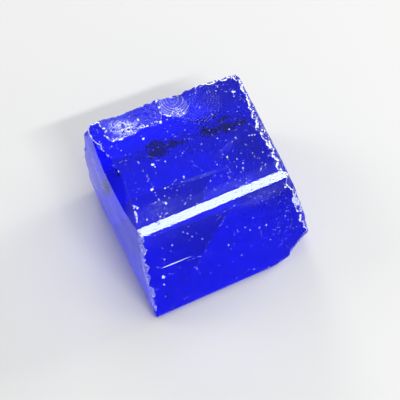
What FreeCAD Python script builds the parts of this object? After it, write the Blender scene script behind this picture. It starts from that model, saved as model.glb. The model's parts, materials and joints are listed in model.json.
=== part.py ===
import FreeCAD, Part
import math
import os
import random

# A single lump of cobalt-blue glass, split from a cast slab. The resting face, the top and the
# sloping front are as cast; both ends and the far side are bowed fractures with chipped arrises.
# Working frame, in mm: X runs along the cast front foot, +Y from that foot to the far side, +Z up.
# The finished solid is moved so that the origin is the bottom centre of its box.

# driving dimensions
HEIGHT = 18.5             # slab thickness, resting face to top face
BLOCK_LENGTH = 33.45      # along X, at mid height
BLOCK_DEPTH = 34.25       # along Y, from the front foot to the crown of the far side
FRONT_SLOPE_DEG = 62.8    # front face above the horizontal
ARRIS_WIDTH = 1.55        # narrow flat between the top and the front face
ARRIS_TILT_DEG = 33.0     # that flat below the horizontal
FOOT_RADIUS = 1.1         # cast round along the foot of the front face

# fine raised seam left by the mould across the front face
SEAM_START = 2.5
SEAM_HEIGHT = 10.0
SEAM_LENGTH = 19.0
SEAM_FALL_DEG = 4.0
SEAM_RADIUS = 0.22
SEAM_PROUD = 0.05

# where the arris flat meets its neighbours, in the YZ section
ARRIS_DROP = ARRIS_WIDTH * math.sin(math.radians(ARRIS_TILT_DEG))
ARRIS_RUN = ARRIS_WIDTH * math.cos(math.radians(ARRIS_TILT_DEG))
FRONT_RISE = HEIGHT - ARRIS_DROP
FRONT_RUN = FRONT_RISE / math.tan(math.radians(FRONT_SLOPE_DEG))
TOP_EDGE_Y = FRONT_RUN + ARRIS_RUN

# barrel-shaped fractures: a point on the crown, heading of the outward normal, how far that
# normal looks up, and the radius of the bow from bottom to top
FRACTURES = {
    "left_end": {"at": (-0.7, 14.0, 7.0), "heading": 180.4, "look_up": 3.0, "bow": 75.0},
    "right_end": {"at": (BLOCK_LENGTH + 0.2, 19.2, 6.0), "heading": -3.8, "look_up": 7.5,
                  "bow": 75.0},
    "far_side": {"at": (16.0, BLOCK_DEPTH, 14.0), "heading": 88.2, "look_up": -4.0, "bow": 46.0},
}

# flakes struck from an arris or corner: a guide point that is snapped to the nearest arris, the
# direction the flake left in, bite depth, bowl radius
ARRIS_FLAKES = {
    "left_long": {"at": (0.5, 20.6, HEIGHT), "leave": (-0.75, 0.0, 0.66),
                  "bite": 1.35, "bowl": 42.0},
    "far_left_corner": {"at": (-0.2, 33.7, 17.5), "leave": (-0.70, 0.60, 0.40),
                        "bite": 0.8, "bowl": 4.5},
    "far_left_heel": {"at": (-1.2, 31.2, 0.8), "leave": (-0.66, 0.66, -0.36),
                      "bite": 0.7, "bowl": 7.0},
    "far_right_corner": {"at": (32.2, 33.0, 17.5), "leave": (0.70, 0.66, 0.25),
                         "bite": 0.8, "bowl": 3.5},
    "front_right_foot": {"at": (33.4, 0.4, 0.6), "leave": (0.42, -0.84, -0.35),
                         "bite": 3.5, "bowl": 19.0},
    "right_front_heel": {"at": (33.9, 4.2, 0.3), "leave": (0.80, -0.35, -0.48),
                         "bite": 0.9, "bowl": 6.0},
    "front_right_notch": {"at": (31.0, 6.2, 12.2), "leave": (0.75, -0.60, 0.25),
                          "bite": 0.8, "bowl": 2.2},
}

# shallow bowls in the top face by the far side: the bowl's lowest point is under the given point
TOP_FLAKES = {
    "far_frosted": {"at": (7.8, 32.3, HEIGHT), "leave": (0.0, 0.10, 1.0),
                    "bite": 0.7, "bowl": 13.0},
    "far_rippled": {"at": (18.2, 30.7, HEIGHT), "leave": (0.0, 0.20, 1.0),
                    "bite": 0.7, "bowl": 5.2},
    "far_shallow": {"at": (21.8, 29.0, HEIGHT), "leave": (0.0, 0.04, 1.0),
                    "bite": 0.32, "bowl": 26.0},
}

# runs of small scalloped chips: a guide point that picks the arris, the direction the chips left
# in, how many, and the range of bowl radii
CHIP_RUNS = {
    "right_top": {"guide": (31.4, 20.0, HEIGHT), "leave": (0.75, 0.0, 0.66),
                  "count": 14, "bowls": (0.7, 1.5)},
    "far_top": {"guide": (26.0, 33.0, HEIGHT), "leave": (0.0, 0.75, 0.66),
                "count": 15, "bowls": (0.6, 1.3)},
    "right_front": {"guide": (32.0, 4.5, 10.0), "leave": (0.72, -0.66, 0.2),
                    "count": 9, "bowls": (0.7, 1.5)},
    "left_front": {"guide": (0.0, 4.5, 10.0), "leave": (-0.72, -0.66, 0.2),
                   "count": 8, "bowls": (0.4, 0.8)},
    "right_foot": {"guide": (34.0, 16.0, 0.0), "leave": (0.8, 0.0, -0.6),
                   "count": 8, "bowls": (0.5, 1.1)},
    "left_foot": {"guide": (-0.8, 16.0, 0.0), "leave": (-0.8, 0.0, -0.6),
                  "count": 7, "bowls": (0.4, 0.9)},
    "far_foot": {"guide": (16.0, 30.8, 0.0), "leave": (0.0, 0.8, -0.6),
                 "count": 12, "bowls": (0.6, 1.6)},
    "far_left": {"guide": (-0.7, 33.2, 9.0), "leave": (-0.7, 0.7, 0.0),
                 "count": 5, "bowls": (0.7, 1.4)},
    "far_right": {"guide": (32.5, 32.8, 9.0), "leave": (0.7, 0.7, 0.0),
                  "count": 6, "bowls": (0.7, 1.4)},
}
CHIP_BITE_RATIO = 0.36    # bite depth over bowl radius
CHIP_SCATTER = 0.3        # how far a chip strays from the even spacing
CHIP_SEED = 11

MARGIN = 12.0             # stock left past the fractures before they are cut


def unit(direction):
    """The unit vector along a direction given as three numbers."""
    vector = FreeCAD.Vector(*direction)
    vector.normalize()
    return vector


def cast_slab():
    """The slab as cast: a prism with a sloping front, a narrow arris flat and a rounded foot."""
    section = [
        (0.0, 0.0),
        (FRONT_RUN, FRONT_RISE),
        (TOP_EDGE_Y, HEIGHT),
        (BLOCK_DEPTH + MARGIN, HEIGHT),
        (BLOCK_DEPTH + MARGIN, 0.0),
    ]
    corners = [FreeCAD.Vector(-MARGIN, y, z) for y, z in section]
    outline = Part.makePolygon(corners + corners[:1])
    prism = Part.Face(outline).extrude(FreeCAD.Vector(BLOCK_LENGTH + 2 * MARGIN, 0, 0))
    foot = nearest_edge(prism, (BLOCK_LENGTH / 2, 0.0, 0.0))
    return prism.makeFillet(FOOT_RADIUS, [foot])


def nearest_edge(shape, guide):
    """The edge of the shape that passes closest to a guide point."""
    point = Part.Vertex(FreeCAD.Vector(*guide))
    return min(shape.Edges, key=lambda edge: edge.distToShape(point)[0])


def fracture_keep(at, heading, look_up, bow):
    """The side of a barrel-shaped fracture that stays: a lying cylinder touching the crown."""
    turn = math.radians(heading)
    lift = math.radians(look_up)
    outward = FreeCAD.Vector(
        math.cos(lift) * math.cos(turn),
        math.cos(lift) * math.sin(turn),
        math.sin(lift),
    )
    along = FreeCAD.Vector(-math.sin(turn), math.cos(turn), 0)
    reach = BLOCK_LENGTH + BLOCK_DEPTH
    start = FreeCAD.Vector(*at) - outward * bow - along * reach
    return Part.makeCylinder(bow, 2 * reach, start, along)


def bowl_cut(at, leave, bite, bowl):
    """The ball whose surface is a conchoidal scar of the given bite depth at a point."""
    outward = unit(leave)
    pole = outward.cross(FreeCAD.Vector(0, 0, 1))
    return Part.makeSphere(bowl, FreeCAD.Vector(*at) + outward * (bowl - bite), pole)


def arris_flake(shape, at, leave, bite, bowl):
    """A larger scar whose point is snapped to the nearest arris of the shape."""
    guide = Part.Vertex(FreeCAD.Vector(*at))
    on_arris = nearest_edge(shape, at).distToShape(guide)[1][0][0]
    return bowl_cut(on_arris, leave, bite, bowl)


def chip_run(arris, leave, count, bowls, chance):
    """Small scallops spaced unevenly along one arris."""
    cuts = []
    for index in range(count):
        place = (index + 0.5 + chance.uniform(-CHIP_SCATTER, CHIP_SCATTER)) / count
        at = arris.valueAt(arris.getParameterByLength(place * arris.Length))
        bowl = chance.uniform(*bowls)
        cuts.append(bowl_cut(at, leave, CHIP_BITE_RATIO * bowl, bowl))
    return cuts


def cast_seam():
    """The mould seam: a thin rod sunk in the front face, so that only a low ridge stands proud."""
    slope = math.radians(FRONT_SLOPE_DEG)
    fall = math.radians(SEAM_FALL_DEG)
    outward = FreeCAD.Vector(0, -math.sin(slope), math.cos(slope))
    down_face = FreeCAD.Vector(0, -math.cos(slope), -math.sin(slope))
    along = FreeCAD.Vector(math.cos(fall), 0, 0) + down_face * math.sin(fall)
    on_face = FreeCAD.Vector(SEAM_START, SEAM_HEIGHT / math.tan(slope), SEAM_HEIGHT)
    start = on_face - outward * (SEAM_RADIUS - SEAM_PROUD)
    return Part.makeCylinder(SEAM_RADIUS, SEAM_LENGTH, start, along)


def glass_block():
    """The whole lump, still in the working frame."""
    block = cast_slab()
    for fracture in FRACTURES.values():
        block = block.common(fracture_keep(**fracture))
    flakes = [arris_flake(block, **flake) for flake in ARRIS_FLAKES.values()]
    flakes += [bowl_cut(**flake) for flake in TOP_FLAKES.values()]
    chance = random.Random(CHIP_SEED)
    chips = []
    for run in CHIP_RUNS.values():
        arris = nearest_edge(block, run["guide"])
        chips += chip_run(arris, run["leave"], run["count"], run["bowls"], chance)
    block = block.fuse(cast_seam())
    block = block.cut(flakes)
    block = block.cut(chips)
    return max(block.Solids, key=lambda solid: solid.Volume)


def stand_on_origin(shape):
    """Move the shape so that the origin is at the bottom centre of its box."""
    box = shape.optimalBoundingBox(False)
    print("moved by", round(-box.Center.x, 4), round(-box.Center.y, 4), round(-box.ZMin, 4))
    shape.translate(FreeCAD.Vector(-box.Center.x, -box.Center.y, -box.ZMin))
    return shape


os.makedirs("parts", exist_ok=True)
block = stand_on_origin(glass_block())
block.exportStep("parts/glass_block.step")
box = block.optimalBoundingBox(False)
print("valid", block.isValid(), "closed", block.isClosed(), "faces", len(block.Faces))
print("size mm", round(box.XLength, 3), round(box.YLength, 3), round(box.ZLength, 3))
print("volume cm3", round(block.Volume / 1000, 3))
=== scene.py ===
import json
import math
import random

import bmesh
import bpy
import numpy as np
from mathutils import Matrix, Vector, noise
from mathutils.bvhtree import BVHTree

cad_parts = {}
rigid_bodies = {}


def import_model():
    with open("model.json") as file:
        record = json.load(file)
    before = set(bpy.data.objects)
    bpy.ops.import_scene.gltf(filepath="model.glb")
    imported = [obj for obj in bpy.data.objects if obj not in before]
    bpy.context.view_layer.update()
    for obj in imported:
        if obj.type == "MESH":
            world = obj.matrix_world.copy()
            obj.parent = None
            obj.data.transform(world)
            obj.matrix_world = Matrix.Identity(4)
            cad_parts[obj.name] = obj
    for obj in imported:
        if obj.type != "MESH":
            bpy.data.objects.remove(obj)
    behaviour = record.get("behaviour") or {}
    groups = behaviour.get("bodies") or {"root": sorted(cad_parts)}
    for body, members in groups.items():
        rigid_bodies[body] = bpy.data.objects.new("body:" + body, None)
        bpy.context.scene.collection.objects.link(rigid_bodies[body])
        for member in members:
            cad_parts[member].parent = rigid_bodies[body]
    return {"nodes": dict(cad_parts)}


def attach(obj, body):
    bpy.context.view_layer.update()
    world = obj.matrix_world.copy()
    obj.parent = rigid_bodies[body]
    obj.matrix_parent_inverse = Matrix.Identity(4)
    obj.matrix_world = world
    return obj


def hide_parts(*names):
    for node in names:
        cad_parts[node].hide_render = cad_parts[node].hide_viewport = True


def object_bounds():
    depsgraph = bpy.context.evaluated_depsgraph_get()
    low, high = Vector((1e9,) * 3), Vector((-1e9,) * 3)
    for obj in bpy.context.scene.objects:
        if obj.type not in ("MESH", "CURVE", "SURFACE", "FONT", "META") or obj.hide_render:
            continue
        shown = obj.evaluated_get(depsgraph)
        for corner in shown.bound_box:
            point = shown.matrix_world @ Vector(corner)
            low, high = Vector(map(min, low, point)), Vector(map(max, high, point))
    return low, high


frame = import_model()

CAD_LOW, CAD_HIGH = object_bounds()

MM = 0.001
NODE = "glass_block"
SEED = 7

# The block is carved in millimetres and scaled to metres at the end.
LOW = np.array(CAD_LOW) / MM
SIZE = (np.array(CAD_HIGH) - np.array(CAD_LOW)) / MM
TOP = LOW[2] + SIZE[2]

# What each facet of the block is, carried through the cuts as a material index, and how it looks: even
# pale haze, sugar-white bruising and crushed white rim (partly painted glints), roughness of a broken
# face, and streaks.
FINISH = {
    "cast": (0.0, 0.0, 0.0, 0.0, 0.0),
    "base": (0.80, 0.0, 0.0, 0.3, 0.0),
    "streaked": (0.12, 0.0, 0.0, 0.3, 1.0),
    "fracture": (0.01, 0.0, 0.0, 0.08, 0.0),
    "flake": (0.02, 0.06, 0.12, 0.15, 0.0),
    "rippled": (0.17, 0.35, 0.15, 0.4, 0.0),
    "veiled": (0.05, 0.08, 0.10, 0.15, 0.0),
    "crest": (0.40, 0.6, 0.3, 0.6, 0.0),
    "frosted": (0.17, 0.95, 0.26, 0.8, 0.0),
    "crushed": (0.55, 1.0, 1.0, 0.9, 0.0),
    "worn": (0.06, 0.30, 0.9, 0.9, 0.0),
    "chip": (0.05, 0.35, 1.0, 0.6, 0.0),
    "scuffed": (0.20, 0.9, 0.55, 0.9, 0.0),
    "heel_chip": (0.0, 0.0, 0.0, 0.2, 0.0),
    "pit": (1.0, 0.0, 0.0, 0.8, 0.0),
    "scratch": (0.35, 0.2, 0.0, 0.8, 0.0),
}
LOOKS = ("haze", "sugar", "rim", "broken", "streaks")
KINDS = tuple(FINISH)
(CAST, BASE, STREAKED, FRACTURE, FLAKE, RIPPLED, VEILED, CREST, FROSTED, CRUSHED, WORN, CHIP, SCUFFED,
 HEEL_CHIP, PIT, SCRATCH) = range(len(KINDS))

# Outward normals of the three cast faces in view: top, narrow arris flat and front.
CAST_NORMALS = ((0, 0, 1), (0, -0.545, 0.839), (0, -0.889, 0.457))


def at_share(x, y, z):
    """A point given as shares of the CAD box, in mm."""
    return Vector((LOW + SIZE * np.array((x, y, z))).tolist())


# ------------------------------------------------------------------ meshes

def new_object(name, mesh, collection=None):
    obj = bpy.data.objects.new(name, mesh)
    (collection or bpy.context.scene.collection).objects.link(obj)
    return obj


def mark_kind(mesh, kind):
    mesh.materials.clear()
    for name in KINDS:
        mesh.materials.append(bpy.data.materials.get(name) or bpy.data.materials.new(name))
    mesh.polygons.foreach_set("material_index", [kind] * len(mesh.polygons))


WELD = 1e-4                        # mm: points nearer than this are one point
FLAT_ENOUGH = math.radians(0.05)   # facets that fold less than this are joined


def block_copy():
    """The CAD block as one welded mesh, in mm."""
    mesh = frame["nodes"][NODE].data.copy()
    mesh.transform(Matrix.Scale(1 / MM, 4))
    work = bmesh.new()
    work.from_mesh(mesh)
    bmesh.ops.remove_doubles(work, verts=work.verts, dist=WELD)
    bmesh.ops.dissolve_limit(work, angle_limit=FLAT_ENOUGH, verts=work.verts, edges=work.edges)
    work.to_mesh(mesh)
    work.free()
    mark_kind(mesh, CAST)
    return new_object("cobalt_block", mesh)


def wavy(u, v, rng, size, count=14):
    """Smooth random relief between about -1 and 1, with features of the given size."""
    total = np.zeros_like(u)
    for _ in range(count):
        turn = rng.uniform(0, 2 * math.pi)
        pace = 2 * math.pi / (size * rng.uniform(0.7, 1.6))
        along = u * math.cos(turn) + v * math.sin(turn)
        total += np.sin(along * pace + rng.uniform(0, 2 * math.pi))
    return total / math.sqrt(count)


def ripples(u, v, strike, pitch, rng, wander=0.25):
    """Shell ripples round the point of the blow, from 0 to 1, sharper on their crests."""
    reach = np.hypot(u - strike[0], v - strike[1])
    phase = reach / pitch + wander * wavy(u, v, rng, 4 * pitch)
    return 1 - np.abs(np.sin(math.pi * phase))


def axes_along(outward, upward=(0, 0, 1)):
    """Two directions across an outward one, the second as near to upward as it can be."""
    out = Vector(outward).normalized()
    across = Vector(upward).cross(out)
    if across.length < 1e-3:
        across = Vector((1, 0, 0))
    across.normalize()
    return across, out.cross(across), out


def relief_cutter(name, kind, origin, axes, half, step, depth, lift, crest=None):
    """A closed block whose underside is a relief.

    depth(u, v) is its height along the outward axis, and crest(u, v) is true where the scar that it
    leaves is a crushed crest.
    """
    counts = [max(2, int(2 * h / step) + 1) for h in half]
    u, v = np.meshgrid(*[np.linspace(-h, h, n) for h, n in zip(half, counts)], indexing="ij")
    under = np.stack([u, v, depth(u, v)], -1).reshape(-1, 3)
    index = np.arange(counts[0] * counts[1]).reshape(counts)
    ring = np.concatenate([index[:-1, 0], index[-1, :-1], index[:0:-1, -1], index[0, :0:-1]])
    over = under[ring].copy()
    over[:, 2] = lift
    place = np.array([list(a) for a in axes])
    points = np.concatenate([under, over]) @ place + np.array(origin)
    quads = np.stack([index[:-1, :-1], index[:-1, 1:], index[1:, 1:], index[1:, :-1]], -1)
    quads = quads.reshape(-1, 4)
    rim = np.arange(len(ring)) + len(under)
    walls = np.stack([ring, np.roll(ring, -1), np.roll(rim, -1), rim], -1)
    mesh = bpy.data.meshes.new(name)
    mesh.from_pydata(points.tolist(), [], quads.tolist() + walls.tolist() + [rim.tolist()])
    mark_kind(mesh, kind)
    if crest:
        middle = under[quads].mean(axis=1)
        for face in np.flatnonzero(crest(middle[:, 0], middle[:, 1])):
            mesh.polygons[int(face)].material_index = CREST
    return mesh


def carve(obj, meshes):
    """Cuts every mesh out of the object in one go and keeps the result as its mesh."""
    tools = bpy.data.collections.new("tools")
    for mesh in meshes:
        new_object(mesh.name, mesh, tools)
    cut = obj.modifiers.new("cut", "BOOLEAN")
    cut.operation = "DIFFERENCE"
    cut.solver = "MANIFOLD"
    cut.operand_type = "COLLECTION"
    cut.collection = tools
    bpy.context.view_layer.update()
    carved = obj.evaluated_get(bpy.context.evaluated_depsgraph_get())
    result = bpy.data.meshes.new_from_object(carved)
    obj.modifiers.remove(cut)
    obj.data = result
    for tool in list(tools.objects):
        bpy.data.objects.remove(tool)
    bpy.data.collections.remove(tools)
    for mesh in meshes:
        bpy.data.meshes.remove(mesh)


# ------------------------------------------------------------------ broken faces

SAME_FACE = math.radians(22)   # facets that turn less than this from the way a face looks are its own


def fitted_face(mesh, outward):
    """The smooth face of the CAD block that looks outward, as height over its own plane."""
    across, up, out = axes_along(outward)
    work = bmesh.new()
    work.from_mesh(mesh)
    rows = []
    for face in work.faces:
        if face.normal.dot(out) > math.cos(SAME_FACE):
            weight = math.sqrt(face.calc_area())
            rows += [(p.co.dot(across), p.co.dot(up), p.co.dot(out), weight) for p in face.verts]
    work.free()
    u, v, w, weight = np.array(rows).T
    terms = np.stack([np.ones_like(u), u, v, u * v, v * v], -1)
    found = np.linalg.lstsq(terms * weight[:, None], w * weight, rcond=None)[0]
    return lambda u, v: found[0] + found[1] * u + found[2] * v + found[3] * u * v + found[4] * v * v


FRACTURE_STEP = 0.25    # mm between the points of a skin


def fracture_cutter(name, kind, block, outward, recess):
    """Takes a thin rippled skin off one broken face. recess(u, v) is how deep, at least 0."""
    axes = axes_along(outward)
    face = fitted_face(block.data, outward)
    middle = SIZE[2] / 2

    def depth(u, v):
        return face(u, v + middle) - recess(u, v + middle)

    origin = axes[1] * middle
    half = (max(SIZE[0], SIZE[1]) * 0.56, SIZE[2] * 0.62)
    return relief_cutter(name, kind, origin, axes, half, FRACTURE_STEP, depth, max(SIZE))


# The skins of the broken faces, in mm: mean depth, the height and size of the long waves, and the height
# and size of the fine hackle. A shelled face has ripples round the place where it was struck.
LEAST_SKIN = 0.01
LEFT_SKIN = {"mean": 0.10, "wave": (0.04, 5.0), "hackle": (0.014, 0.9)}
RIGHT_SKIN = {"mean": 0.05, "strike": (-12.0, 19.0), "shell": (0.07, 3.4), "wave": (0.05, 7.0),
              "hackle": (0.008, 2.0)}
FAR_SKIN = {"mean": 0.05, "strike": (8.0, 20.0), "shell": (0.06, 3.6), "wave": (0.05, 9.0),
            "hackle": (0.006, 2.2)}


def streaked_recess(u, v, seed, mean, wave, hackle):
    """Long waves and hackle that are both drawn out along the face."""
    rng = random.Random(seed)
    waves = wavy(u * 0.25, v, rng, wave[1])
    ridges = wavy(u * 0.08 + v * 0.1, v - 0.1 * u, rng, hackle[1])
    return np.clip(mean + wave[0] * waves + hackle[0] * ridges, LEAST_SKIN, 1)


def shelled_recess(u, v, seed, mean, strike, shell, wave, hackle):
    """Shell ripples round the strike, over long waves and fine hackle."""
    rng = random.Random(seed)
    shells = ripples(u, v, strike, shell[1], rng)
    ridges = wavy(u, v, rng, hackle[1])
    waves = wavy(u, v, rng, wave[1])
    return np.clip(mean + shell[0] * shells + wave[0] * waves + hackle[0] * ridges, LEAST_SKIN, 1)


# ------------------------------------------------------------------ flakes

# Each flake: a point on the block as shares of its box, the way it left, and its bowls. A bowl has its
# centre beside that point, bite depth and radius. A ripple has a pitch and a height, and goes round the
# strike. All in mm. Ripples above the crest value are crushed.
FLAKES = {
    "left_long": {
        "at": (0.047, 0.583, 1.0), "leave": (-0.75, 0.0, 0.66), "kind": FLAKE, "step": 0.35,
        "bowls": [((0, 0), 1.40, 42.0)], "ripple": (6.0, 0.010), "grain": 0.0},
    "far_left_corner": {
        "at": (0.038, 1.0, 0.940), "leave": (-0.70, 0.60, 0.40), "kind": CHIP, "step": 0.14,
        "bowls": [((0, 0), 0.85, 4.5), ((0.7, -1.1), 0.6, 3.0)], "ripple": (0.6, 0.05), "grain": 0.02},
    "far_left_heel": {
        "at": (0.001, 0.911, 0.032), "leave": (-0.66, 0.66, -0.36), "kind": FLAKE, "step": 0.25,
        "bowls": [((0, 0), 0.8, 7.0)], "ripple": (1.1, 0.06), "grain": 0.01},
    "far_right_corner": {
        "at": (0.923, 0.971, 0.945), "leave": (0.70, 0.66, 0.25), "kind": CHIP, "step": 0.14,
        "bowls": [((0, 0), 0.85, 3.5), ((-0.6, 0.8), 0.6, 2.4)], "ripple": (0.6, 0.05), "grain": 0.02},
    "front_right_foot": {
        "at": (0.944, 0.002, 0.038), "leave": (0.42, -0.84, -0.35), "kind": FLAKE, "step": 0.22,
        "bowls": [((0, 0), 3.55, 19.0)], "ripple": (1.3, 0.07), "grain": 0.015},
    "front_foot_wear": {
        "at": (0.80, 0.0, 0.02), "leave": (0.10, -0.92, -0.38), "kind": FLAKE, "step": 0.25,
        "bowls": [((0, 0), 0.75, 30.0)], "ripple": (2.2, 0.05), "grain": 0.01},
    "right_front_heel": {
        "at": (0.952, 0.104, 0.0), "leave": (0.80, -0.35, -0.48), "kind": FLAKE, "step": 0.2,
        "bowls": [((0, 0), 0.95, 6.0)], "ripple": (0.9, 0.05), "grain": 0.01},
    "far_frosted": {
        "at": (0.243, 0.926, 1.0), "leave": (0.0, 0.10, 1.0), "kind": FROSTED, "step": 0.12,
        "bowls": [((0, 0), 0.75, 13.0), ((-2.2, -1.6), 0.62, 5.5), ((2.6, -1.2), 0.6, 4.5),
                  ((0.4, -2.9), 0.42, 3.2)], "ripple": (1.2, 0.03), "grain": 0.03},
    "far_hackle": {
        "at": (0.375, 0.88, 1.0), "leave": (0.0, 0.06, 1.0), "kind": VEILED, "step": 0.07,
        "bowls": [((0, 0), 0.26, 9.0), ((0.9, 1.6), 0.25, 6.0)], "ripple": (0.42, 0.06), "grain": 0.01,
        "strike": (-9.0, 5.0), "crest": 0.80},
    "far_bruise": {
        "at": (0.532, 0.955, 1.0), "leave": (0.0, 0.5, 0.87), "kind": CRUSHED, "step": 0.1,
        "bowls": [((0, 0), 0.45, 2.2), ((1.3, 0.3), 0.35, 1.6)], "ripple": (0.5, 0.04), "grain": 0.03},
    "far_rippled": {
        "at": (0.533, 0.879, 1.0), "leave": (0.0, 0.20, 1.0), "kind": RIPPLED, "step": 0.08,
        "bowls": [((0, 0), 0.75, 5.2), ((-0.9, 0.9), 0.8, 4.0)], "ripple": (0.62, 0.06), "grain": 0.0,
        "strike": (0.1, 3.0), "crest": 0.62},
    "far_shallow": {
        "at": (0.634, 0.829, 1.0), "leave": (0.0, 0.04, 1.0), "kind": VEILED, "step": 0.1,
        "bowls": [((0, 0), 0.36, 26.0), ((-1.0, 2.4), 0.34, 12.0)], "ripple": (0.55, 0.014), "grain": 0.0,
        "strike": (-4.0, 5.0), "crest": 0.93},
}

# The notch is struck after the small chips, so that they don't cut its white patch away.
LATE_FLAKES = {
    "front_right_notch": {
        "at": (0.888, 0.172, 0.690), "leave": (0.75, -0.60, 0.25), "kind": CRUSHED, "step": 0.1,
        "bowls": [((0, 0), 0.72, 1.6), ((0.3, -1.2), 0.55, 1.1), ((-0.5, 0.9), 0.45, 1.0)],
        "ripple": (0.4, 0.07), "grain": 0.08},
}


def flake_cutter(name, at, leave, kind, step, bowls, ripple, grain, strike=None, crest=None):
    """One or more overlapping bowls struck off at a point, with ripples and grain on the scar."""
    origin = at_share(*at)
    axes = axes_along(leave, (0, 1, 0) if abs(leave[2]) > 0.9 else (0, 0, 1))
    pitch, height = ripple
    spread = max(math.hypot(*c) + math.sqrt(2 * b * r) for c, b, r in bowls) * 1.2
    strike = strike or (0.0, -spread)

    def shells(u, v):
        return ripples(u, v, strike, pitch, random.Random(name))

    def depth(u, v):
        lowest = np.full_like(u, 1e3)
        for (cu, cv), bite, radius in bowls:
            reach = np.minimum(np.hypot(u - cu, v - cv), 0.97 * radius)
            lowest = np.minimum(lowest, radius - bite - np.sqrt(radius ** 2 - reach ** 2))
        return lowest - height * shells(u, v) + grain * wavy(u, v, random.Random(name), 0.35, 24)

    crushed = crest and (lambda u, v: shells(u, v) > crest)
    return relief_cutter(name, kind, origin, axes, (spread, spread), step, depth, spread + 6, crushed)


# ------------------------------------------------------------------ chips and pits

def chip_density(sx, sy, sz):
    """Chips per mm of arris: crowded on the right, far and left front arrises, sparse elsewhere."""
    if sz < 0.15:
        return 1.5 if sy > 0.8 else 0.9
    if sx < 0.15 and sz > 0.9 and sy > 0.25:
        return 0.4 if sy < 0.8 else 5.0
    if 0.07 < sx < 0.88 and sy < 0.25 and sz < 0.85:
        return 0.0
    if sx > 0.8:
        return 4.2
    if sx < 0.2 and sy < 0.27:
        return 6.0
    if sy > 0.85:
        return 3.4
    return 1.6


def wear_density(sx, sy, sz):
    """Wider knocks per mm of arris: the arris is worn right off where they overlap."""
    if sz < 0.04:
        return 0.35
    if sx > 0.8:
        return 0.55
    if sx < 0.2 and sy < 0.27:
        return 1.4
    return 0.15 if sy > 0.85 else 0.0


# The least fold, in degrees, of an arris that wears or chips.
WORN_FOLD = 50
CHIPPED_FOLD = 38


def arris_places(obj, rng, density, least_fold):
    """Random places along the sharp arrises, as (point, outward, along)."""
    work = bmesh.new()
    work.from_mesh(obj.data)
    edges, weights = [], []
    for edge in work.edges:
        if len(edge.link_faces) == 2 and edge.calc_face_angle(0) > math.radians(least_fold):
            middle = (edge.verts[0].co + edge.verts[1].co) / 2
            share = [(middle[k] - LOW[k]) / SIZE[k] for k in range(3)]
            edges.append(edge)
            weights.append(edge.calc_length() * density(*share))
    places = []
    for edge in rng.choices(edges, weights, k=int(sum(weights))):
        share = rng.random()
        point = edge.verts[0].co.lerp(edge.verts[1].co, share)
        outward = (edge.link_faces[0].normal + edge.link_faces[1].normal).normalized()
        along = (edge.verts[1].co - edge.verts[0].co).normalized()
        places.append((point, outward, along))
    work.free()
    return places


def lump(name, kind, place, radius, stretch, rough, detail, rng):
    """A small irregular ball that cuts a chip or a pit."""
    work = bmesh.new()
    bmesh.ops.create_icosphere(work, subdivisions=detail, radius=1.0)
    shift = Vector((rng.uniform(0, 90), rng.uniform(0, 90), rng.uniform(0, 90)))
    for vert in work.verts:
        vert.co *= 1 + rough * noise.noise(vert.co * 1.6 + shift)
    work.transform(place @ Matrix.Diagonal((*[radius * s for s in stretch], 1)))
    mesh = bpy.data.meshes.new(name)
    work.to_mesh(mesh)
    work.free()
    mark_kind(mesh, kind)
    return mesh


def frame_at(point, along, outward):
    side = outward.cross(along).normalized()
    turn = Matrix((along, side, outward)).transposed().to_4x4()
    return Matrix.Translation(point) @ turn


def on_left_front(point):
    """Whether a place is on the arris between the left end and the front."""
    return point.x < LOW[0] + 0.2 * SIZE[0] and point.y < LOW[1] + 0.27 * SIZE[1]


def wear_cutters(obj, rng):
    cutters = []
    for point, outward, along in arris_places(obj, rng, wear_density, WORN_FOLD):
        radius = rng.uniform(1.0, 1.9)
        bite = rng.uniform(0.22, 0.42)
        if on_left_front(point):
            radius, bite = 0.55 * radius, 0.55 * bite
        place = frame_at(point + outward * (radius - bite), along, outward)
        kind = SCUFFED if on_left_front(point) else WORN
        cutters.append(lump("wear", kind, place, radius, (rng.uniform(1.0, 1.7), 1, 1), 0.14, 4, rng))
    return cutters


def chip_style(point):
    """The kind of the chips at a place, and how much larger than the least one they get."""
    far = point.y > LOW[1] + 0.85 * SIZE[1]
    if point.z < 0.15 * SIZE[2]:
        return HEEL_CHIP, 0.9
    return (SCUFFED if on_left_front(point) else CHIP), (0.3 if far else 0.55)


def chip_cutters(obj, rng):
    cutters = []
    for point, outward, along in arris_places(obj, rng, chip_density, CHIPPED_FOLD):
        kind, largest = chip_style(point)
        radius = 0.18 + largest * rng.random() ** 2.0
        bite = radius * rng.uniform(0.25, 0.5)
        stretch = (rng.uniform(0.8, 1.9), 1.0, 0.9)
        centre = point + outward * (0.9 * radius - bite)
        tilt = Vector((rng.uniform(-1, 1), rng.uniform(-1, 1), rng.uniform(-1, 1))) * 0.25
        place = frame_at(centre, along, (outward + tilt).normalized())
        detail = 3 if radius > 0.34 else 2
        cutters.append(lump("chip", kind, place, radius, stretch, 0.35, detail, rng))
    return cutters


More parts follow.
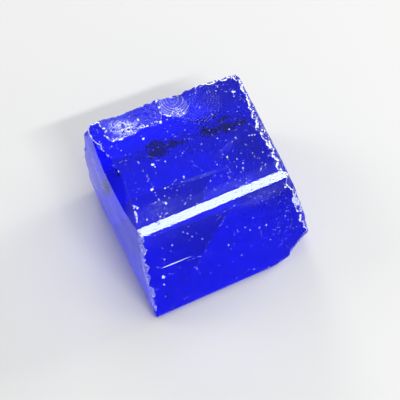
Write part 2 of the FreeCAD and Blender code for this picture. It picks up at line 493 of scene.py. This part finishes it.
# Single pits that stand out, as shares of the box, with their radius in mm. A pit on the front is
# looked for along +Y from that place.
SINGLE_PITS = {
    "front_oval": ((0.105, 0.0, 0.466), 0.32),
    "front_right": ((0.84, 0.0, 0.86), 0.20),
    "front_mid": ((0.70, 0.0, 0.55), 0.18),
    "top_mid_left": ((0.269, 0.606, 1.0), 0.30),
    "top_left": ((0.288, 0.778, 1.0), 0.20),
    "top_far_left": ((0.314, 0.914, 1.0), 0.20),
    "top_far": ((0.444, 0.938, 1.0), 0.24),
    "top_far_right": ((0.838, 0.849, 1.0), 0.26),
    "top_right": ((0.63, 0.48, 1.0), 0.18),
    "top_low_left": ((0.207, 0.469, 1.0), 0.24),
    "top_by_band": ((0.238, 0.364, 1.0), 0.20),
    "row_one": ((0.79, 0.552, 1.0), 0.13),
    "row_two": ((0.804, 0.548, 1.0), 0.14),
    "row_three": ((0.818, 0.543, 1.0), 0.12),
    "by_facet": ((0.10, 0.40, 1.0), 0.18),
}

# How many random spots are tried. Those that miss a cast face leave nothing.
PIT_TRIES = 190
SCRATCH_TRIES = 36

# A dotted hairline down the top, as shares of the box.
HAIRLINE = ((0.206, 0.670), (0.217, 0.541), (0.214, 0.396), (0.240, 0.343))

# The top is looked at from above and the front along +Y.
TOP_AIM = Vector((0, 0, -1))
FRONT_AIM = Vector((0, 1, 0))
STAND_OFF = 30.0    # mm from a target to where the line that looks for it starts
FACES_IT = 0.82     # cosine between the line and a surface that faces it


def surface_under(tree, target, aim):
    """Where a line that aims at a target meets the block, if that surface faces the line."""
    point, normal, _, _ = tree.ray_cast(target - aim * STAND_OFF, aim)
    if point is None or normal.dot(-aim) < FACES_IT:
        return None
    return point, normal


def random_target(rng):
    """A random spot on the top or the front, more often close to the arris between them."""
    if rng.random() < 0.68:
        return at_share(rng.random(), 0.28 + 0.7 * rng.random() ** 1.5, 1.0), TOP_AIM
    return at_share(rng.random(), 0.0, rng.random() ** 0.7), FRONT_AIM


def hairline_targets(rng, pace):
    """Spots along the hairline, closely and unevenly spaced."""
    for (ax, ay), (bx, by) in zip(HAIRLINE, HAIRLINE[1:]):
        start, end = at_share(ax, ay, 1.0), at_share(bx, by, 1.0)
        for _ in range(int((end - start).length * pace)):
            aside = Vector((rng.gauss(0, 0.08), 0, 0))
            yield start.lerp(end, rng.random()) + aside


def flake_border_targets(obj, rng, pace):
    """Spots along the line where the long flake by the left end leaves the top face."""
    work = bmesh.new()
    work.from_mesh(obj.data)
    for edge in work.edges:
        kinds = {face.material_index for face in edge.link_faces}
        middle = (edge.verts[0].co + edge.verts[1].co) / 2
        if kinds == {CAST, FLAKE} and middle.z > TOP - 0.1 and middle.x < LOW[0] + 0.15 * SIZE[0]:
            for _ in range(int(edge.calc_length() * pace + rng.random())):
                yield edge.verts[0].co.lerp(edge.verts[1].co, rng.random())
    work.free()


def pit_cutters(obj, rng, count):
    """Small pits scattered over the top and the front, in lines, and the single ones that stand out."""
    tree = BVHTree.FromPolygons(*plain_polygons(obj.data))
    wanted = [(*random_target(rng), 0.05 + 0.10 * rng.random() ** 2) for _ in range(count)]
    wanted += [(spot, TOP_AIM, rng.uniform(0.05, 0.08)) for spot in hairline_targets(rng, 2.2)]
    for spot in flake_border_targets(obj, rng, 1.0):
        wanted.append((spot, TOP_AIM, 0.04 + 0.10 * rng.random() ** 3))
    for at, radius in SINGLE_PITS.values():
        wanted.append((at_share(*at), TOP_AIM if at[2] == 1.0 else FRONT_AIM, radius))
    cutters = []
    for target, aim, radius in wanted:
        found = surface_under(tree, target, aim)
        if found is None:
            continue
        point, normal = found
        along = Vector((rng.uniform(-1, 1), rng.uniform(-1, 1), 0.1)).cross(normal).normalized()
        place = frame_at(point + normal * radius * 0.3, along, normal)
        stretch = (rng.uniform(1, 1.7), 1, 0.8)
        cutters.append(lump("pit", PIT, place, radius, stretch, 0.4, 2 if radius > 0.15 else 1, rng))
    return cutters


def scratch_cutters(obj, rng, count):
    """Fine straight scratches on the top and the front."""
    tree = BVHTree.FromPolygons(*plain_polygons(obj.data))
    cutters = []
    for _ in range(count):
        found = surface_under(tree, *random_target(rng))
        if found is None:
            continue
        point, normal = found
        turn = rng.gauss(0.9, 0.7)
        along = Vector((math.cos(turn), math.sin(turn), 0)).cross(normal).normalized()
        half_length = 0.12 + 1.0 * rng.random() ** 2.5
        width = rng.uniform(0.035, 0.06)
        place = frame_at(point, along, normal)
        cutters.append(lump("scratch", SCRATCH, place, width, (half_length / width, 1, 0.6), 0.1, 2, rng))
    return cutters


# The fold that lies in the front face along the mould seam: a shallow groove with a tapered outline.
FOLD_START = (0.101, 0.0, 0.565)
FOLD_LENGTH = 7.2
FOLD_FALL = math.radians(1.2)
FOLD_WIDTH = 0.44
FOLD_DEPTH = 0.14
FOLD_RINGS = 24

# Its section, as shares of width down the face and of depth outward.
FOLD_SECTION = ((-0.35, 0.4), (-0.22, -1.0), (0.5, 0.02), (0.5, 0.4))


def downhill(direction):
    """The direction or its opposite, whichever points down."""
    return -direction if direction.z > 0 else direction


def fold_cutter(obj):
    """A tapered groove whose lower flank turns up towards the light."""
    normal = Vector(CAST_NORMALS[2])
    front = max(vert.co.dot(normal) for vert in obj.data.vertices)
    start = at_share(*FOLD_START)
    start.y = (front - start.z * normal.z) / normal.y
    across = Vector((1, 0, 0))
    down = downhill(across.cross(normal).normalized())
    along = across * math.cos(FOLD_FALL) + down * math.sin(FOLD_FALL)
    down = downhill(normal.cross(along).normalized())
    points, faces = [], []
    for index in range(FOLD_RINGS + 1):
        share = index / FOLD_RINGS
        swell = max(0.02, math.sin(math.pi * share ** 0.7) ** 0.8)
        here = start + along * (share * FOLD_LENGTH)
        for aside, sink in FOLD_SECTION:
            lower = down * (aside * FOLD_WIDTH * swell)
            points.append(here + lower + normal * (sink * FOLD_DEPTH * swell))
    for index in range(FOLD_RINGS):
        a, b = 4 * index, 4 * index + 4
        for side in range(4):
            other = (side + 1) % 4
            faces.append((a + side, a + other, b + other, b + side))
    faces.append((0, 3, 2, 1))
    faces.append(tuple(4 * FOLD_RINGS + corner for corner in range(4)))
    mesh = bpy.data.meshes.new("fold")
    mesh.from_pydata(points, [], faces)
    work = bmesh.new()
    work.from_mesh(mesh)
    bmesh.ops.recalc_face_normals(work, faces=work.faces)
    work.to_mesh(mesh)
    work.free()
    mark_kind(mesh, PIT)
    return mesh


def drop_crumbs(obj):
    """Keeps the largest connected piece, without the splinters that the cuts left loose."""
    work = bmesh.new()
    work.from_mesh(obj.data)
    unseen = set(work.faces)
    pieces = []
    while unseen:
        piece, front = [], [unseen.pop()]
        while front:
            face = front.pop()
            piece.append(face)
            beside = {other for edge in face.edges for other in edge.link_faces} & unseen
            unseen -= beside
            front += beside
        pieces.append(piece)
    largest = max(pieces, key=len)
    crumbs = [face for piece in pieces if piece is not largest for face in piece]
    bmesh.ops.delete(work, geom=crumbs, context="FACES")
    work.to_mesh(obj.data)
    work.free()


def plain_polygons(mesh):
    points = [v.co.copy() for v in mesh.vertices]
    return points, [list(p.vertices) for p in mesh.polygons]


# How deep, in mm, the white rim of a scar reaches below the cast face it was struck from.
RIM_DEPTH = 0.20

# The sugar-white patch of the frosted flake: its middle, half length, half width and turn.
FROST_CENTRE = (0.230, 0.900)
FROST_HALF = (2.5, 1.5)
FROST_TURN = math.radians(-25.0)

# The sharpest fold, in degrees, that is still shaded smooth on a cast face and on a broken one.
SMOOTH_CAST = 12
SMOOTH_BROKEN = 42

UNDERSIDE = -0.99    # a facet whose normal points further down than this is on the underside


def facet_values(mesh, name):
    """The centres or normals of the facets, as rows."""
    values = np.zeros(3 * len(mesh.polygons))
    mesh.polygons.foreach_get(name, values)
    return values.reshape(-1, 3)


def rim_share(centres):
    """How near each facet is to the cast face it was struck from: 1 at the rim, 0 well below it."""
    depth = np.full(len(centres), 1e3)
    for normal in CAST_NORMALS:
        height = centres @ np.array(normal)
        depth = np.minimum(depth, height.max() - height)
    return np.clip(1.5 - depth / RIM_DEPTH, 0, 1)


def frost_share(centres):
    """How deep each facet lies in the sugar-white patch: 1 in its middle, 0 well outside."""
    away = centres[:, :2] - np.array(at_share(*FROST_CENTRE, 1.0))[:2]
    cos, sin = math.cos(FROST_TURN), math.sin(FROST_TURN)
    turn = np.array(((cos, sin), (-sin, cos)))
    reach = np.hypot(*(turn @ away.T / np.array(FROST_HALF)[:, None]))
    return np.clip(1.6 - reach, 0, 1)


def facet_kinds(mesh):
    """The kind of each facet, with the underside told apart from the other cast faces."""
    kinds = np.zeros(len(mesh.polygons), int)
    mesh.polygons.foreach_get("material_index", kinds)
    kinds[(kinds == CAST) & (facet_values(mesh, "normal")[:, 2] < UNDERSIDE)] = BASE
    return kinds


def keep_looks(mesh, kinds):
    """Writes how each facet looks as attributes, which the material reads."""
    centres = facet_values(mesh, "center") / MM
    for index, name in enumerate(LOOKS):
        values = np.array([FINISH[kind][index] for kind in KINDS], np.float32)[kinds]
        if name == "rim":
            values *= rim_share(centres)
        if name == "sugar":
            values *= np.where(kinds == FROSTED, 0.15 + 1.1 * frost_share(centres), 1)
        mesh.attributes.new(name, "FLOAT", "FACE").data.foreach_set("value", values)


def split_shading(mesh):
    """Shades the facets smooth, apart from arrises and the borders between kinds."""
    mesh.shade_smooth()
    work = bmesh.new()
    work.from_mesh(mesh)
    for edge in work.edges:
        faces = edge.link_faces
        same = faces[0].material_index == faces[1].material_index
        limit = SMOOTH_CAST if faces[0].material_index == CAST else SMOOTH_BROKEN
        edge.smooth = same and edge.calc_face_angle(0) < math.radians(limit)
    work.to_mesh(mesh)
    work.free()


def finish_mesh(obj, material):
    """Scales the block to metres, keeps its looks as attributes and gives it its one material."""
    mesh = obj.data
    mesh.transform(Matrix.Scale(MM, 4))
    keep_looks(mesh, facet_kinds(mesh))
    split_shading(mesh)
    mesh.materials.clear()
    mesh.materials.append(material)
    mesh.polygons.foreach_set("material_index", [0] * len(mesh.polygons))


# ------------------------------------------------------------------ materials

class Wiring:
    """Short-hand for building one material's nodes."""

    def __init__(self, name):
        self.material = bpy.data.materials.new(name)
        self.material.use_nodes = True
        self.tree = self.material.node_tree
        self.tree.nodes.clear()

    def node(self, kind, inputs=(), **settings):
        made = self.tree.nodes.new("ShaderNode" + kind)
        for key, value in settings.items():
            setattr(made, key, value)
        for key, value in dict(inputs).items():
            if isinstance(value, bpy.types.NodeSocket):
                self.tree.links.new(value, made.inputs[key])
            else:
                made.inputs[key].default_value = value
        return made

    def math(self, operation, a, b=0.0, clamp=False):
        return self.node("Math", {0: a, 1: b}, operation=operation, use_clamp=clamp).outputs[0]

    def ramp(self, value, low, high, to_low=0.0, to_high=1.0):
        """A smooth step from to_low at low to to_high at high."""
        inputs = {
            "Value": value, "From Min": low, "From Max": high, "To Min": to_low, "To Max": to_high,
        }
        return self.node("MapRange", inputs, clamp=True, interpolation_type="SMOOTHSTEP").outputs[0]

    def product(self, first, *others):
        for other in others:
            first = self.math("MULTIPLY", first, other)
        return first

    def largest(self, first, *others):
        for other in others:
            first = self.math("MAXIMUM", first, other)
        return first

    def distance(self, x, y):
        squares = [self.math("POWER", value, 2.0) for value in (x, y)]
        return self.math("SQRT", self.math("ADD", *squares))

    def weighted(self, x, share_of_x, y, share_of_y):
        return self.math("ADD", self.product(x, share_of_x), self.product(y, share_of_y))

    def attribute(self, name):
        return self.node("Attribute", attribute_name=name).outputs["Fac"]

    def noise(self, place, scale, detail=2.0, roughness=0.5):
        inputs = {"Vector": place, "Scale": scale, "Detail": detail, "Roughness": roughness}
        return self.node("TexNoise", inputs).outputs["Fac"]

    def mix(self, factor, first, second):
        mixed = self.node("Mix", {"Factor": factor, "A": first, "B": second}, data_type="RGBA")
        return mixed.outputs["Result"]

    def scaled(self, place, scale, turn=(0, 0, 0)):
        inputs = {"Vector": place, "Rotation": turn, "Scale": scale}
        return self.node("Mapping", inputs, vector_type="POINT").outputs[0]


# Painted shade: dark smudges on the underside along the far foot. Each is an oval, in mm
# from the middle of the block: its middle, half length, half width, turn in degrees, and strength.
FOOT_SHADES = (
    (-7.4, 12.4, 0.8, 0.5, 0, 0.4),
    (-3.9, 12.3, 2.7, 1.4, 8, 0.86),
    (0.3, 12.8, 2.4, 1.1, 5, 0.84),
    (4.0, 13.3, 1.2, 0.5, 0, 0.5),
    (7.6, 12.7, 2.5, 1.6, 0, 0.92),
    (11.0, 12.0, 1.9, 1.4, -10, 0.9),
    (14.0, 11.5, 1.2, 1.0, 0, 0.85),
)
# Painted shade: soft darker ovals on the underside.
SHADES = (
    (11.5, 3.4, 8.8, 4.2, -14, 0.22),
    (8.0, 9.5, 9.5, 3.0, -8, 0.24),
)
# Painted shade: darker sectors of the underside: the corner, two headings in degrees, strength, and where
# it fades out.
SECTORS = (
    (5.2, 4.2, 176, 226, 0.44, 10.0, 22.0),
    (4.6, 4.9, -18, 27, 0.36, 9.0, 15.0),
)
# Pale dusty veils on the cast faces, as ovals. The first three, beside the narrow flat, are a painted
# reflection haze round the highlight band.
VEILS_AND_SHEEN = (
    (-11.0, -5.2, 6.8, 2.6, 0, 0.12),
    (3.0, -6.3, 14.0, 1.4, 0, 0.09),
    (7.5, -9.5, 7.2, 1.0, 0, 0.13),
    (-1.5, -2.3, 8.4, 0.55, -4, 0.12),
    (5.6, 1.3, 5.4, 1.0, 25, 0.08),
    (15.0, 2.0, 3.0, 9.0, 0, 0.11),
)

# Where the narrow flat lies along Y, in mm, and how the marks thin out above, below and on it.
FLAT_MIDDLE = -8.05
MARKS_ABOVE = (-7.6, -2.5)
MARKS_BELOW = (-11.5, -8.6)
MARKS_BESIDE = (0.62, 0.8)

# Two sizes of specks: cells for each mm, the least draw that makes a speck, and the largest radius in mm.
COARSE_SPECKS = (1.3, 0.885, 0.105)
FINE_SPECKS = (2.6, 0.82, 0.075)
FINE_STRENGTH = 0.7

CLEAR_TINT = (0.55, 0.6, 1.0, 1)
# The white of crushed glass and dust, also used for painted glints and painted reflection haze.
WHITE_TINT = (0.86, 0.89, 1.0, 1)
STREAK_TINT = (0.12, 0.17, 1.0, 1)
# The near-black that the painted shade turns the colour to.
SHADE_COLOUR = (0.01, 0.012, 0.03, 1)
GLOSS_TINT = (0.20, 0.23, 1.0, 1)
BODY_BLUE = (0.02, 0.0, 0.997, 1)
BODY_DENSITY = 800.0
GLASS_IOR = 1.5


def oval_patch(wire, axis, middle_x, middle_y, half_length, half_width, turn, strength, edge, softness):
    """A soft-edged oval in the XY plane: its strength inside, 0 outside."""
    cos, sin = math.cos(math.radians(turn)), math.sin(math.radians(turn))
    x = wire.math("SUBTRACT", axis["X"], middle_x)
    y = wire.math("SUBTRACT", axis["Y"], middle_y)
    along = wire.weighted(x, cos / half_length, y, sin / half_length)
    aside = wire.weighted(x, -sin / half_width, y, cos / half_width)
    reach = wire.math("ADD", wire.distance(along, aside), edge)
    return wire.ramp(reach, 1.1 - softness, 1.1, strength, 0.0)


def sector(wire, axis, corner_x, corner_y, start, end, strength, near, far, edge):
    """A soft-edged sector of the XY plane between two headings, fading out from near to far."""
    x = wire.math("SUBTRACT", axis["X"], corner_x)
    y = wire.math("SUBTRACT", axis["Y"], corner_y)
    sides = []
    for heading, side in ((start, 1), (end, -1)):
        turn = math.radians(heading)
        sides.append(wire.weighted(x, -side * math.sin(turn), y, side * math.cos(turn)))
    depth = wire.math("ADD", wire.math("MINIMUM", *sides), edge)
    fade = wire.ramp(wire.distance(x, y), near, far, 1.0, 0.0)
    return wire.product(wire.ramp(depth, 0.0, 0.9, 0.0, strength), fade)


def painted_shade(wire, place):
    """Painted shade: how dark the underside and the chips just above it are at each place."""
    axis = wire.node("SeparateXYZ", {"Vector": place}).outputs
    under = wire.ramp(axis["Z"], 0.05, 0.3, 1.0, 0.0)
    heel = wire.ramp(axis["Z"], 0.2, 0.6, 1.0, 0.0)
    ragged = wire.product(wire.math("SUBTRACT", wire.noise(place, 1.3, 3.0, 0.6), 0.5), 2.6)
    softly = wire.product(wire.math("SUBTRACT", wire.noise(place, 0.4, 2.0), 0.5), 0.9)
    dark = 0.0
    for foot_shade in FOOT_SHADES:
        dark = wire.largest(dark, wire.product(oval_patch(wire, axis, *foot_shade, ragged, 0.35), heel))
    for shade in SHADES:
        dark = wire.largest(dark, wire.product(oval_patch(wire, axis, *shade, softly, 0.6), under))
    for shade in SECTORS:
        dark = wire.largest(dark, wire.product(sector(wire, axis, *shade, softly), under))
    return dark


def specks(wire, place, scale, least, largest, crowd):
    """Round white specks: one in each cell of a scattered grid whose draw, plus crowd, passes least."""
    inputs = {"Vector": place, "Scale": scale, "Randomness": 1.0}
    cells = wire.node("TexVoronoi", inputs, feature="F1").outputs
    draw = wire.node("SeparateColor", {"Color": cells["Color"]}).outputs[0]
    size = wire.ramp(wire.math("ADD", draw, crowd), least, 1.1, 0.0, largest * scale)
    return wire.ramp(wire.math("SUBTRACT", cells["Distance"], size), 0.0, 0.03, 1.0, 0.0)


def crowding(wire, place, axis, by_flat):
    """Where the specks are: in clusters, by the narrow flat, towards the right, fewer low down."""
    right = wire.ramp(axis["X"], -4.0, 15.0)
    clusters = wire.ramp(wire.noise(place, 0.3, 2.0), 0.35, 0.7, -0.25, 0.25)
    low_down = wire.ramp(axis["Y"], -11.5, -9.5, 0.04, 0.0)
    gathered = wire.math("ADD", clusters, wire.product(wire.math("ADD", by_flat, right), 0.16))
    return wire.math("SUBTRACT", gathered, low_down)


# Pale veils; those beside the narrow flat are painted reflection haze round the highlight band.
def veils_and_sheen(wire, place, axis):
    veil = 0.0
    for oval in VEILS_AND_SHEEN:
        veil = wire.largest(veil, oval_patch(wire, axis, *oval, 0.0, 0.9))
    return wire.product(veil, wire.ramp(wire.noise(place, 1.1, 6.0, 0.75), 0.3, 0.7, 0.5, 1.5))


def handling_marks(wire, place):
    """Specks, scuffs, dusty veils and painted reflection haze round the highlight band on the cast faces.
    """
    axis = wire.node("SeparateXYZ", {"Vector": place}).outputs
    above = wire.ramp(axis["Y"], *MARKS_ABOVE, 1.0, 0.0)
    below = wire.ramp(axis["Y"], *MARKS_BELOW)
    off_middle = wire.math("ABSOLUTE", wire.math("ADD", axis["Y"], -FLAT_MIDDLE))
    by_flat = wire.product(above, below, wire.ramp(off_middle, *MARKS_BESIDE))
    crowd = crowding(wire, place, axis, by_flat)
    coarse = specks(wire, place, *COARSE_SPECKS, crowd)
    fine = wire.product(specks(wire, place, *FINE_SPECKS, crowd), FINE_STRENGTH)
    scuff = wire.ramp(wire.noise(place, 7.0, 5.0, 0.7), 0.46, 0.66)
    scuff = wire.product(scuff, wire.math("ADD", wire.product(by_flat, 0.26), 0.004))
    return wire.largest(coarse, fine, scuff, veils_and_sheen(wire, place, axis))


def crushing_and_glints(wire, place, looks):
    """Sugar-white bruising where the glass was struck and the crushed white rims of the chips, partly
    painted glints.
    """
    bruise = wire.ramp(wire.noise(place, 4.6, 5.0, 0.75), 0.40, 0.64)
    sugar = wire.math("MULTIPLY", bruise, looks["sugar"], clamp=True)
    torn = wire.product(wire.math("SUBTRACT", wire.noise(place, 2.0, 3.0), 0.5), 3.0)
    crescent = wire.ramp(wire.math("ADD", looks["rim"], torn), 0.55, 0.75)
    return wire.largest(sugar, wire.product(crescent, wire.ramp(looks["rim"], 0.02, 0.15)))


def paleness(wire, place, looks):
    """The even veil, softly clouded, streaks along the left end, and marks on the cast faces."""
    clouds = wire.ramp(wire.noise(place, 0.35, 3.0), 0.3, 0.7, 0.85, 1.12)
    veil = wire.product(looks["haze"], clouds)
    grain_along = wire.noise(wire.scaled(place, (1.0, 0.12, 2.2)), 1.6, 4.0, 0.6)
    streak = wire.product(wire.ramp(grain_along, 0.42, 0.70, 0.0, 0.62), looks["streaks"])
    cast = wire.ramp(looks["broken"], 0.0, 0.05, 1.0, 0.0)
    return wire.largest(veil, streak, wire.product(handling_marks(wire, place), cast))


def cobalt_glass():
    wire = Wiring("cobalt_glass")
    metres = wire.node("TexCoord").outputs["Object"]
    place = wire.scaled(metres, (1 / MM, 1 / MM, 1 / MM))
    looks = {name: wire.attribute(name) for name in LOOKS}
    # White of crushed glass, partly painted glints on the chips and bruises.
    crushed = crushing_and_glints(wire, place, looks)
    white = wire.largest(crushed, paleness(wire, place, looks))
    # Painted shade: darkens the colour towards the shade colour and takes it off the transmission.
    dark = painted_shade(wire, place)
    pale = wire.mix(white, CLEAR_TINT, WHITE_TINT)
    bluish = wire.mix(wire.product(looks["streaks"], 0.8), pale, STREAK_TINT)
    clear = wire.product(wire.ramp(white, 0.0, 1.0, 1.0, 0.12), wire.math("SUBTRACT", 1.0, dark))
    rough = wire.math("ADD", wire.product(looks["broken"], 0.05), wire.ramp(white, 0, 1, 0.02, 0.4))
    graininess = wire.math("ADD", wire.product(looks["broken"], 0.6), crushed)
    height = wire.product(wire.noise(place, 5.0, 3.0), graininess)
    bump = wire.node("Bump", {"Height": height, "Strength": 0.25, "Distance": 0.06 * MM})
    glass = wire.node("BsdfPrincipled", {
        "Base Color": wire.mix(dark, bluish, SHADE_COLOUR),
        "Transmission Weight": clear,
        "Roughness": rough,
        "Normal": bump.outputs["Normal"],
        "IOR": GLASS_IOR,
        "Specular Tint": GLOSS_TINT,
    })
    body = wire.node("VolumeAbsorption", {"Color": BODY_BLUE, "Density": BODY_DENSITY})
    wire.node("OutputMaterial", {"Surface": glass.outputs["BSDF"], "Volume": body.outputs["Volume"]})
    return wire.material


def pale_floor():
    wire = Wiring("pale_floor")
    paint = wire.node("BsdfPrincipled", {"Base Color": (0.55, 0.55, 0.54, 1), "Roughness": 0.7})
    wire.node("OutputMaterial", {"Surface": paint.outputs["BSDF"]})
    return wire.material


# ------------------------------------------------------------------ build

rng = random.Random(SEED)
block = block_copy()
large = [
    fracture_cutter("left_face", STREAKED, block, (-1, 0, 0),
                    lambda u, v: streaked_recess(u, v, SEED + 1, **LEFT_SKIN)),
    fracture_cutter("right_face", FRACTURE, block, (1, 0, 0),
                    lambda u, v: shelled_recess(u, v, SEED + 2, **RIGHT_SKIN)),
    fracture_cutter("far_face", FRACTURE, block, (0, 1, 0),
                    lambda u, v: shelled_recess(u, v, SEED + 3, **FAR_SKIN)),
]
large += [flake_cutter(name, **flake) for name, flake in FLAKES.items()]
carve(block, large)
carve(block, wear_cutters(block, rng))
carve(block, chip_cutters(block, rng))
carve(block, [flake_cutter(name, **flake) for name, flake in LATE_FLAKES.items()])
carve(block, [fold_cutter(block)])
carve(block, scratch_cutters(block, rng, SCRATCH_TRIES))
carve(block, pit_cutters(block, rng, PIT_TRIES))
drop_crumbs(block)
finish_mesh(block, cobalt_glass())
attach(block, "root")
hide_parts(NODE)

# ------------------------------------------------------------------ stage, lights and camera

CENTRE = Vector(((CAD_LOW + CAD_HIGH) / 2)[:])
FLOOR_HALF = 3.0
FLOOR_GAP = 0.02 * MM

WORLD_COLOUR = (0.95, 0.97, 1.0, 1)
WORLD_STRENGTH = 0.35

# Each soft light: its direction from the block, distance, length and width, all in metres, and radiance.
# The band light is the one that the narrow flat mirrors.
SOFTBOXES = {
    "band_light": ((0.207, -0.621, 0.756), 0.5, (0.20, 0.022), 105.0),
    "top_panel": ((0.20, 0.42, 0.88), 0.8, (0.55, 0.55), 1.4),
    "over_right": ((0.6, -0.1, 0.8), 0.8, (0.4, 0.4), 3.0),
    "low_back": ((0.2, 0.95, 0.2), 0.7, (0.26, 0.26), 15.0),
    "low_right": ((0.94, 0.2, 0.26), 0.7, (0.26, 0.26), 17.0),
    "left_back": ((-0.6, 0.6, 0.5), 0.7, (0.26, 0.26), 6.5),
}

CAMERA_ELEVATION = math.radians(61.0)
CAMERA_TURN = math.radians(25.3)
CAMERA_DISTANCE = 0.181
CAMERA_TARGET = Vector((0.7 * MM, 2.6 * MM, 0.0))
CAMERA_CLIP = 0.01
SENSOR_MM = 36.0
LENS_MM = 81.0


def wide_floor():
    mesh = bpy.data.meshes.new("floor")
    work = bmesh.new()
    bmesh.ops.create_grid(work, x_segments=8, y_segments=8, size=FLOOR_HALF)
    work.to_mesh(mesh)
    work.free()
    mesh.materials.append(pale_floor())
    plane = new_object("floor", mesh)
    plane.location.z = -FLOOR_GAP
    return plane


def light_world():
    world = bpy.data.worlds.new("studio")
    bpy.context.scene.world = world
    world.use_nodes = True
    sky = world.node_tree.nodes["Background"]
    sky.inputs["Color"].default_value = WORLD_COLOUR
    sky.inputs["Strength"].default_value = WORLD_STRENGTH


def softbox(name, direction, distance, size, radiance):
    """A soft light that looks at the block, its long side in line with the block's X axis."""
    data = bpy.data.lights.new(name, "AREA")
    data.shape = "RECTANGLE"
    data.size, data.size_y = size
    data.energy = radiance * math.pi * size[0] * size[1]
    lamp = new_object(name, data)
    way = Vector(direction).normalized()
    lamp.location = CENTRE + way * distance
    across = (Vector((1, 0, 0)) - way * way.x).normalized()
    lamp.rotation_euler = Matrix((across, way.cross(across), way)).transposed().to_euler()
    lamp.visible_camera = False


def place_camera():
    data = bpy.data.cameras.new("camera")
    data.sensor_width = SENSOR_MM
    data.lens = LENS_MM
    data.clip_start = CAMERA_CLIP
    camera = new_object("camera", data)
    toward = Vector((
        -math.sin(CAMERA_TURN) * math.cos(CAMERA_ELEVATION),
        -math.cos(CAMERA_TURN) * math.cos(CAMERA_ELEVATION),
        math.sin(CAMERA_ELEVATION),
    ))
    camera.location = CAMERA_TARGET + toward * CAMERA_DISTANCE
    camera.rotation_euler = toward.to_track_quat("Z", "Y").to_euler()
    return camera


floor = wide_floor()
light_world()
for name, settings in SOFTBOXES.items():
    softbox(name, *settings)
bpy.context.scene.camera = place_camera()
bpy.context.scene.view_settings.view_transform = "Standard"
